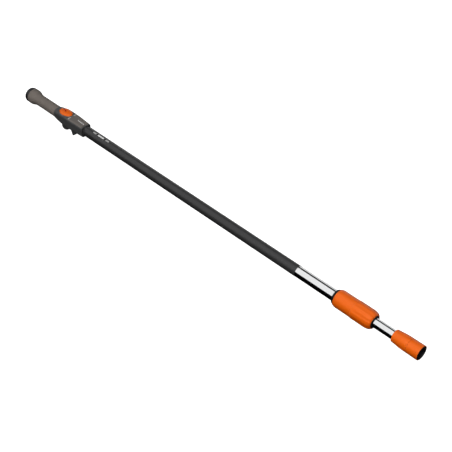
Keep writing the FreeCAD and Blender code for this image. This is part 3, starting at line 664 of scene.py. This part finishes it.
def scalloped(x, r, angle):
    """Lets the radius down in soft hollows, on the outer face only, past a plain band at the seam."""
    pitch = 2 * math.pi / SCALLOPS
    off = (angle - SCALLOP_TURN + pitch / 2) % pitch - pitch / 2
    hollow = np.clip(1 - (off / SCALLOP_HALF) ** 2, 0, 1) ** 1.5
    along = np.clip((x / MM - rear - 3.0) / 4.0, 0, 1)
    along = along * along * (3 - 2 * along)
    outer_face = 1.0 if r / MM > rim - 6.0 and x / MM > rear + 1.0 else 0.0
    return r - SCALLOP_DEPTH * MM * hollow * along * outer_face


nose = []
for k in range(13):
    turn = math.radians(90 * k / 12)
    nose.append((front - NOSE + NOSE * math.sin(turn), rim - (rim - 17.4) * (1 - math.cos(turn)), 0))
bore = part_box("wiper_ring")[0].x / MM
cone_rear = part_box("collet")[0].x / MM - 0.2
cone_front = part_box("collet")[1].x / MM + 0.6
nut_outline = ([(rear, 20.35, 0.3), (rear, rim, 0.6)] + nose
               + [(front, 16.45, 0.2), (bore - 0.1, 16.45, 0), (bore - 0.1, 13.3, 0.2), (cone_front, 13.3, 0.2),
                  (cone_front, 15.6, 0), (cone_rear, 18.5, 0), (cone_rear, 18.9, 0),
                  (cone_rear - 2.0, 18.9, 0), (cone_rear - 2.0, 20.35, 0)])
place_turned("clamp_ring", "clamp_nut", nut_outline, 192, scalloped)

# %% [markdown]
# ## Coupling
# The coupling tapers out to the socket. On each flank, a little below the middle, a round-bottomed flute
# leads the thumb to the sleeve. The flute is a round bar sunk along the body, so its surface is worked out
# as the distance from the pole's axis to that bar.
# %% Coupling body
rear, front, rim = span("coupling_body")
FLUTE_R, FLUTE_AWAY = 6.0, 23.4
FLUTE_END = rear + 35.0
FLUTE_ANGLES = [math.radians(105), math.radians(255)]


def fluted(x, r, angle):
    """Cuts the outer face back to the sunk bar where that lies deeper."""
    radius = np.full(len(angle), r / MM)
    if r / MM < 15.5:
        return radius * MM
    past = max(0.0, x / MM - FLUTE_END)
    bar = FLUTE_R ** 2 - past ** 2
    for middle_angle in FLUTE_ANGLES:
        off = np.abs((angle - middle_angle + math.pi) % (2 * math.pi) - math.pi)
        under = bar - (FLUTE_AWAY * np.sin(off)) ** 2
        near = (under > 0) & (off < 0.5) & (bar > 0)
        reach = FLUTE_AWAY * np.cos(off) - np.sqrt(np.maximum(under, 0))
        radius = np.where(near, np.minimum(radius, reach), radius)
    return radius * MM


BORE_FIT, INSERT_FIT = 12.55, 16.0
insert_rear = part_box("socket_insert")[0].x / MM - 0.1
taper = [(rear, BORE_FIT, 0.2), (rear, 16.6, 0.7), (rear + 12, 17.7, 4), (rear + 26, 19.1, 6),
         (rear + 36, rim - 0.05, 4), (front, rim, 0.5), (front, INSERT_FIT, 0.1), (insert_rear, INSERT_FIT, 0),
         (insert_rear, BORE_FIT, 0)]
FLUTE_STEP = 0.6 * MM       # fine enough to show the flute's rim
place_turned("coupling", "coupling_body", taper, 288, fluted, FLUTE_STEP)

# %% Locking sleeve
rear, front, rim = span("locking_sleeve")
sleeve_outline = [(rear, 17.0, 0.2), (rear, rim - 0.3, 0.5), (front, rim, 0.8), (front, 18.2, 0.3),
                  (front - 2.9, 18.2, 0.1), (front - 2.9, 17.0, 0.2)]
place_turned("lock_sleeve", "locking_sleeve", sleeve_outline)

# %% Socket
rear, front, rim = span("socket_insert")
SOCKET_BORE, KEYWAY_HALF, KEYWAY_DEEP = 11.0, 2.0, 1.5
SOCKET_DEPTH = 37.0
floor_at = front - SOCKET_DEPTH


def keyed(x, r, angle):
    """Opens the keyway in the bore's top."""
    off = np.abs((angle + math.pi) % (2 * math.pi) - math.pi)
    on_bore = abs(r / MM - SOCKET_BORE) < 0.6
    in_key = (off * SOCKET_BORE < KEYWAY_HALF) & on_bore
    return np.where(in_key, (SOCKET_BORE + KEYWAY_DEEP) * MM, r)


socket_outline = [(rear, 3.0, 0.2), (rear, 15.95, 0.4), (front - 32.5, 15.95, 0.1), (front - 32.5, 14.9, 0),
                  (front - 24.5, 14.9, 0), (front - 24.5, 16.92, 0.2), (front - 3.0, 16.92, 0),
                  (front - 3.0, 17.9, 0.2), (front, 17.9, 0.5), (front, SOCKET_BORE, 0.5),
                  (floor_at, SOCKET_BORE, 0.3), (floor_at, 3.0, 0.2)]
place_turned("socket", "socket_insert", socket_outline, 192, keyed)

# %% [markdown]
# ## Moulded shells
# The shells, the panel, the bezel and the trigger come out of moulds, so every edge has a small rounding
# and the forms run into each other. Each starts as a copy of its CAD part. A voxel remesh gives it an even
# skin, a little smoothing rounds the edges, and a collapse brings the face count back down.
# %% Softening
def welded(node):
    """A working copy of a CAD node's mesh, whose faces share their corners."""
    work = bmesh.new()
    work.from_mesh(frame["nodes"][node].data)
    bmesh.ops.remove_doubles(work, verts=work.verts, dist=1e-6)
    return work


def moulded(name, node, voxel, passes, keep):
    """A softened copy of a CAD node's mesh."""
    mesh = frame["nodes"][node].data.copy()
    work = welded(node)
    work.to_mesh(mesh)
    work.free()
    carrier = linked("carrier", mesh)
    remesh = carrier.modifiers.new("remesh", "REMESH")
    remesh.mode = "VOXEL"
    remesh.voxel_size = voxel * MM
    ease = carrier.modifiers.new("ease", "SMOOTH")
    ease.factor, ease.iterations = 0.5, passes
    if keep < 1:
        collapse = carrier.modifiers.new("collapse", "DECIMATE")
        collapse.ratio = keep
    soft = converted(carrier)
    bpy.data.objects.remove(carrier)
    print(name, len(soft.polygons), "faces")
    return soft


MOULDED = [("shell_left", "left_shell", 0.60, 5, 0.45), ("shell_right", "right_shell", 0.60, 5, 0.45),
           ("panel", "top_panel", 0.40, 5, 0.5), ("bezel", "button_bezel", 0.25, 3, 0.6),
           ("finger_trigger", "trigger", 0.40, 10, 0.5)]
for name, node, voxel, passes, keep in MOULDED:
    place_piece(name, moulded(name, node, voxel, passes, keep), node)

# %% [markdown]
# ## Thumb button
# The button is a domed oval. A thumb channel slants in from its rear rim to the middle, and its floor is
# marked as a hollow, so the finish paints shade there: a darker red-orange that stands in for the shade in
# the channel. The button is a stack of oval rings that runs over the dome and down the skirt, and comes back
# inside as a wall with a stem underneath.
# %% Button
low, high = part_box("lock_button")
centre_x = (low.x + high.x) / 2 / MM
half_long, half_wide = (high.x - low.x) / 2 / MM, (high.y - low.y) / 2 / MM
top_z, stem_foot = high.z / MM, low.z / MM
SKIRT_Z, BRIM_Z, BUTTON_WALL, STEM = 13.2, 20.6, 2.2, 3.0
CHANNEL_HALF, CHANNEL_DEEP, CHANNEL_TURN = 3.0, 3.0, math.radians(23)
RIM_DIP = 1.2               # how far the channel may cut below the brim
oval = np.linspace(0, 2 * math.pi, 160, endpoint=False)


def dome(share):
    return BRIM_Z + (top_z - BRIM_Z) * (1 - share ** 3.2) ** 0.8


def channel_share(x, y):
    """How far into the thumb channel a point lies, from 0 outside it to 1 along its floor."""
    behind = y * math.sin(CHANNEL_TURN) - x * math.cos(CHANNEL_TURN)
    beside = x * math.sin(CHANNEL_TURN) + y * math.cos(CHANNEL_TURN)
    across = np.clip(1.4 * (1 - np.abs(beside) / CHANNEL_HALF), 0, 1)
    along = np.clip((behind + 3.0) / 6.0, 0, 1)
    return across * along * along * (3 - 2 * along)


def button_ring(long, wide, height, channel=False):
    """Adds one oval ring, and how far each of its points lies in the channel."""
    x, y = long * np.cos(oval), wide * np.sin(oval)
    z = np.full(len(oval), height)
    share = channel_share(x, y) * channel
    shade_shares.append(share)
    z = np.where(share > 0, np.maximum(z - CHANNEL_DEEP * share, BRIM_Z - RIM_DIP), z)
    button_rings.append(np.stack([x + centre_x, y, z], axis=1) * MM)


button_rings, shade_shares = [], []
for share in np.concatenate([np.linspace(0.02, 0.9, 34), np.linspace(0.915, 1.0, 12)]):
    button_ring(half_long * share, half_wide * share, dome(share), channel=True)
inner_long, inner_wide = half_long - BUTTON_WALL, half_wide - BUTTON_WALL
for share, height in ((1, BRIM_Z - 1.5), (1, SKIRT_Z + 0.4), (0.985, SKIRT_Z)):
    button_ring(half_long * share, half_wide * share, height)
ceiling = top_z - BUTTON_WALL
for long, wide, height in ((inner_long, inner_wide, SKIRT_Z), (inner_long, inner_wide, BRIM_Z - BUTTON_WALL),
                           (inner_long * 0.8, inner_wide * 0.8, ceiling - 1.4),
                           (STEM + 1, STEM + 1, ceiling - 1.2), (STEM, STEM, ceiling - 2),
                           (STEM, STEM, stem_foot + 0.3), (STEM - 0.3, STEM - 0.3, stem_foot)):
    button_ring(long, wide, height)
count, around = len(button_rings), len(oval)
ends = [tuple(range(around)), tuple(range((count - 1) * around, count * around))]
button_mesh = plain_mesh("thumb_button", np.concatenate(button_rings), bands(count, around) + ends)
# The channel's share becomes the 'hollow' attribute: a mask of painted shade that darkens the channel's floor.
painted_shade_of = button_mesh.attributes.new("hollow", "FLOAT", "POINT")
painted_shade_of.data.foreach_set("value", np.concatenate(shade_shares).astype(np.float32))
place_piece("thumb_button", outward(button_mesh), "lock_button")

# %% [markdown]
# ## Printed marks
# The pole carries a few plain printed bars: three on the tube's skin, one thin line on the panel and two
# short bars in front of the button. Each is a thin patch of ink that follows the surface under it. On the
# panel, that surface is found by looking straight down on it.
# %% Ink
ink = finish("pale ink", (0.46, 0.46, 0.45), 0.45, drift=0.05, grain_depth=0.000002)
bright_ink = finish("white ink", (0.80, 0.80, 0.79), 0.45, drift=0.03, grain_depth=0.000002)
INK_T, INK_PROUD = 0.06, 0.6    # thickness of the printed patch, and the share of it above the surface


def patch(name, corners_at, columns, rows, body, material):
    """A thin closed patch. corners_at(u, v) gives a point on the surface and its normal."""
    top, bottom = [], []
    for i in range(columns + 1):
        for j in range(rows + 1):
            point, normal = corners_at(i / columns, j / rows)
            top.append(point + normal * INK_T * MM * INK_PROUD)
            bottom.append(point - normal * INK_T * MM * (1 - INK_PROUD))
    wide = rows + 1
    offset = len(top)
    faces = []
    for i in range(columns):
        for j in range(rows):
            a, b, c, d = i * wide + j, (i + 1) * wide + j, (i + 1) * wide + j + 1, i * wide + j + 1
            faces += [(a, b, c, d), (a + offset, d + offset, c + offset, b + offset)]
    border = ([i * wide for i in range(columns + 1)] + [columns * wide + j for j in range(1, rows + 1)]
              + [i * wide + rows for i in range(columns - 1, -1, -1)] + [j for j in range(rows - 1, 0, -1)])
    for here, after in zip(border, border[1:] + border[:1]):
        faces.append((here, here + offset, after + offset, after))
    mark = add_object(name, outward(plain_mesh(name, [tuple(p) for p in top + bottom], faces)), material)
    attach(mark, body)


# %% Marks on the skin
skin_rear, _, skin_radius = (value * MM for value in span("tube_skin"))
BAR_TURN, BAR_HALF_TURN = math.radians(5), math.radians(9.5)
SKIN_BARS = [("skin_bar_rear", 76.0, 14.0, ink), ("skin_bar_middle", 97.0, 26.0, bright_ink),
             ("skin_bar_front", 131.0, 14.0, ink)]
for name, start, long, material in SKIN_BARS:
    def on_skin(u, v, start=start, long=long):
        angle = BAR_TURN + (2 * v - 1) * BAR_HALF_TURN
        normal = Vector((0, -math.sin(angle), math.cos(angle)))
        return Vector((skin_rear + (start + long * u) * MM, 0, 0)) + normal * skin_radius, normal
    patch(name, on_skin, 12, 12, "handle", material)

# %% Marks on the panel
panel_mesh = bpy.data.objects["panel"].data
panel_tree = BVHTree.FromPolygons([v.co for v in panel_mesh.vertices],
                                  [p.vertices for p in panel_mesh.polygons])
panel_rear, panel_front, _ = span("top_panel")
ABOVE = 60                  # mm, a height over the panel to look down from


def over_panel(x0, x1, y0, y1):
    def at(u, v):
        start = Vector((x0 + (x1 - x0) * u, y0 + (y1 - y0) * v, ABOVE)) * MM
        place, normal, _, _ = panel_tree.ray_cast(start, Vector((0, 0, -1)))
        return place, normal
    return at


patch("panel_line", over_panel(panel_front - 32, panel_front - 6, -1.0, 1.0), 20, 4, "handle", bright_ink)
patch("panel_dot", over_panel(panel_front - 9, panel_front - 5.2, -1.7, 1.7), 6, 6, "handle", bright_ink)
for side, y0, y1 in (("left", -16.0, -6.0), ("right", 5.0, 15.0)):
    patch("panel_bar_" + side, over_panel(panel_rear + 4.0, panel_rear + 7.6, y0, y1), 6, 14, "handle", ink)

# %% [markdown]
# ## Springs
# A coil spring is one wire on a spiral path. The tree takes the coil's size and its number of turns, and the
# same tree makes the button's spring, the trigger's spring and the sleeve's spring.
# %% Spring tree
spring_tree, s_in, s_out = geometry_tree("coil spring", [
    ("Radius", FLOAT, 0.005), ("Wire Radius", FLOAT, 0.0005), ("Length", FLOAT, 0.01), ("Turns", FLOAT, 5.0),
    ("Start", VECTOR, (0, 0, 0)), ("Tilt", "NodeSocketRotation", None), ("Finish", METAL, None)])
sizes = s_in.outputs
spiral = step(spring_tree, "GeometryNodeCurveSpiral", Resolution=28, Rotations=sizes["Turns"],
              Start_Radius=sizes["Radius"], End_Radius=sizes["Radius"], Height=sizes["Length"])
wire = step(spring_tree, "GeometryNodeCurvePrimitiveCircle", Resolution=10, Radius=sizes["Wire Radius"])
drawn = step(spring_tree, "GeometryNodeCurveToMesh", Curve=spiral.outputs[0], Profile_Curve=wire.outputs[0],
             Fill_Caps=True)
laid = step(spring_tree, "GeometryNodeTransform", Geometry=drawn.outputs[0], Translation=sizes["Start"],
            Rotation=sizes["Tilt"])
close_tree(spring_tree, laid.outputs[0], sizes["Finish"], s_out)

# %% The springs
SPRINGS = [("button_spring", "z", 0.45, 5.0), ("trigger_spring", "z", 0.35, 4.0),
           ("sleeve_spring", "x", 0.5, 3.0)]     # each with its axis, wire radius and turns
# The joint that squeezes a spring, the end that stays (0 the lower, 1 the upper), the share of length kept.
SQUEEZED = {"button_spring": ("lock_button_press", 0, 0.72), "trigger_spring": ("trigger_squeeze", 1, 0.42)}
for node, axis, wire_mm, turns in SPRINGS:
    low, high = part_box(node)
    size, middle_of = high - low, (high + low) / 2
    wire_r = wire_mm * MM
    if axis == "z":
        along, start, tilt = size.z, (middle_of.x, middle_of.y, low.z + wire_r), (0.0, 0.0, 0.0)
    else:
        along, start, tilt = size.x, (low.x + wire_r, 0.0, 0.0), (0.0, math.radians(90), 0.0)
    mesh = grow(spring_tree, **{"Radius": size.y / 2 - wire_r, "Wire Radius": wire_r,
                                "Length": along - 2 * wire_r, "Turns": turns, "Start": start,
                                "Tilt": tilt, "Finish": FINISH["spring_steel"]})
    spring = place_piece(node + "_coil", outward(mesh), node)
    if node in SQUEEZED:
        joint, fixed_end, keep = SQUEEZED[node]
        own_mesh(spring)
    print(node, [round(d * 1000, 1) for d in spring.dimensions], "mm")

# %% [markdown]
# ## Screws, pins and balls
# The same screw sits in several places, so one screw is made and a tree copies it to each place. The places
# are the middles of the CAD solids, and each carries the direction that its head faces.
# %% Copying tree
copy_tree, c_in, c_out = geometry_tree("set of copies", [
    ("Places", "NodeSocketGeometry", None), ("Part", "NodeSocketObject", None), ("Finish", METAL, None)])
part_info = step(copy_tree, "GeometryNodeObjectInfo", Object=c_in.outputs["Part"])
facing = step(copy_tree, "GeometryNodeInputNamedAttribute", Name="facing")
facing.data_type = "FLOAT_VECTOR"
turned_to = step(copy_tree, "FunctionNodeAlignRotationToVector", Vector=facing.outputs["Attribute"])
turned_to.axis = "Z"
points = step(copy_tree, "GeometryNodeMeshToPoints", Mesh=c_in.outputs["Places"])
copies = step(copy_tree, "GeometryNodeInstanceOnPoints", Points=points.outputs[0],
              Instance=part_info.outputs["Geometry"], Rotation=turned_to.outputs[0])
close_tree(copy_tree, copies.outputs[0], c_in.outputs["Finish"], c_out)


# %% Places
def solids_of(node):
    """The boxes of a CAD node's separate solids."""
    work = welded(node)
    left, boxes = set(work.verts), []
    while left:
        stack, found = [left.pop()], []
        while stack:
            vertex = stack.pop()
            found.append(vertex.co.copy())
            for edge in vertex.link_edges:
                other = edge.other_vert(vertex)
                if other in left:
                    left.remove(other)
                    stack.append(other)
        boxes.append((Vector(map(min, *found)), Vector(map(max, *found))))
    work.free()
    return sorted(boxes, key=lambda box: tuple(box[0]))


def copied(name, node, template, places):
    """Copies a template to (point, facing) places and puts the result in as the node's piece."""
    mesh = plain_mesh("places", [tuple(point) for point, _ in places])
    facing_of = mesh.attributes.new("facing", "FLOAT_VECTOR", "POINT")
    for row, (_, direction) in zip(facing_of.data, places):
        row.vector = direction
    part = linked("part", template)
    result = grow(copy_tree, mesh, **{"Part": part, "Finish": FINISH[SLOT_OF[node]]})
    bpy.data.objects.remove(part)
    place_piece(name, outward(result), node)
    print(name, len(places), "copies,", len(result.polygons), "faces")


def upright(outline, around=40):
    """A turned template whose axis is Z, from an open outline (height, radius) that starts and ends on it."""
    angle = np.linspace(0, 2 * math.pi, around, endpoint=False)
    points = [(0, 0, outline[0][0] * MM)]
    for z, r in outline[1:-1]:
        points += [(r * MM * math.cos(a), r * MM * math.sin(a), z * MM) for a in angle]
    points.append((0, 0, outline[-1][0] * MM))
    rings = len(outline) - 2
    last = 1 + (rings - 1) * around
    faces = [(0, 1 + (k + 1) % around, 1 + k) for k in range(around)] + bands(rings, around, first=1)
    faces += [(len(points) - 1, last + k, last + (k + 1) % around) for k in range(around)]
    return outward(plain_mesh("template", points, faces))


# %% Fasteners
SCREW_R = 1.45
CROSS_HALF, CROSS_DEEP = 0.38, 1.0


def cut_cross(mesh, arm):
    """Cuts a cross recess into a screw template's head, whose face is at height 0."""
    target = linked("target", mesh)
    cutters = []
    for long, wide in ((arm, CROSS_HALF), (CROSS_HALF, arm)):
        work = bmesh.new()
        bmesh.ops.create_cube(work, size=1.0)
        bmesh.ops.scale(work, vec=(2 * long * MM, 2 * wide * MM, 2 * CROSS_DEEP * MM), verts=work.verts)
        block_mesh = bpy.data.meshes.new("cutter")
        work.to_mesh(block_mesh)
        work.free()
        cutter = linked("cutter", block_mesh)
        cut = target.modifiers.new("cut", "BOOLEAN")
        cut.operation, cut.solver, cut.object = "DIFFERENCE", "EXACT", cutter
        cutters.append(cutter)
    result = converted(target)
    for item in cutters + [target]:
        bpy.data.objects.remove(item)
    return result


def screw_template(shank_long, head_r, head_h, countersunk):
    """A screw with its head's face at height 0 and its shank below."""
    shank = [(-head_h, SCREW_R)]
    thread_pitch, deep = 0.8, 0.22
    z = -head_h - 1.2
    while z > -shank_long + 1.2:
        shank += [(z, SCREW_R), (z - thread_pitch * 0.5, SCREW_R - deep)]
        z -= thread_pitch
    shank += [(-shank_long + 0.8, SCREW_R * 0.8), (-shank_long, SCREW_R * 0.35)]
    if countersunk:
        head = [(0, head_r - 0.1), (-0.15, head_r)]
    else:
        head = [(0, head_r - 0.9), (-0.3, head_r - 0.3), (-0.9, head_r), (-head_h, head_r)]
    outline = [(0, 0)] + head + shank + [(-shank_long, 0)]
    return cut_cross(upright(outline), head_r * 0.62)


shell_boxes = solids_of("shell_screws")
places = [(Vector(((a.x + b.x) / 2, b.y, (a.z + b.z) / 2)), (0, 1, 0)) for a, b in shell_boxes]
shank = min(b.y - a.y for a, b in shell_boxes) / MM
copied("shell_screw_set", "shell_screws", screw_template(shank, 2.8, 2.4, False), places)
for name, node in (("tube_screw_pair", "tube_screws"), ("insert_screw_pair", "insert_screws")):
    places = []
    for a, b in solids_of(node):
        sideways = b.y - a.y > b.z - a.z
        if sideways:
            places.append((Vector(((a.x + b.x) / 2, b.y, (a.z + b.z) / 2)), (0, 1, 0)))
            long = (b.y - a.y) / MM
        else:
            places.append((Vector(((a.x + b.x) / 2, (a.y + b.y) / 2, a.z)), (0, 0, -1)))
    copied(name, node, screw_template(long, 3.0, 1.6, True), places)

# %% Pins and balls
places = [(Vector((b.x, (a.y + b.y) / 2, (a.z + b.z) / 2)), (1, 0, 0)) for a, b in solids_of("contact_pins")]
long = (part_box("contact_pins")[1].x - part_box("contact_pins")[0].x) / MM
pin = upright([(0, 0), (-0.1, 0.45), (-0.5, 0.85), (-1.0, 1.0), (-long, 1.0), (-long, 0)], 24)
copied("contact_pin_set", "contact_pins", pin, places)
BALL_R = 2.5
arc = [(BALL_R * math.cos(t), BALL_R * math.sin(t)) for t in np.linspace(0, math.pi, 17)]
places = [((a + b) / 2, (1, 0, 0)) for a, b in solids_of("lock_balls")]
copied("lock_ball_set", "lock_balls", upright(arc, 28), places)

# %% [markdown]
# ## Parts kept from the CAD
# What is left has the right shape already, and most of it is out of sight inside the pole: the switch, the
# plugs, the bushes, the pins and a few screws. It keeps its CAD mesh and takes its finish.
# %% Dress the CAD parts
kept = []
for node, item in frame["nodes"].items():
    if item.hide_render:
        continue
    item.data.materials.clear()
    item.data.materials.append(FINISH[SLOT_OF[node]])
    kept.append(node)
print("kept from CAD:", kept)
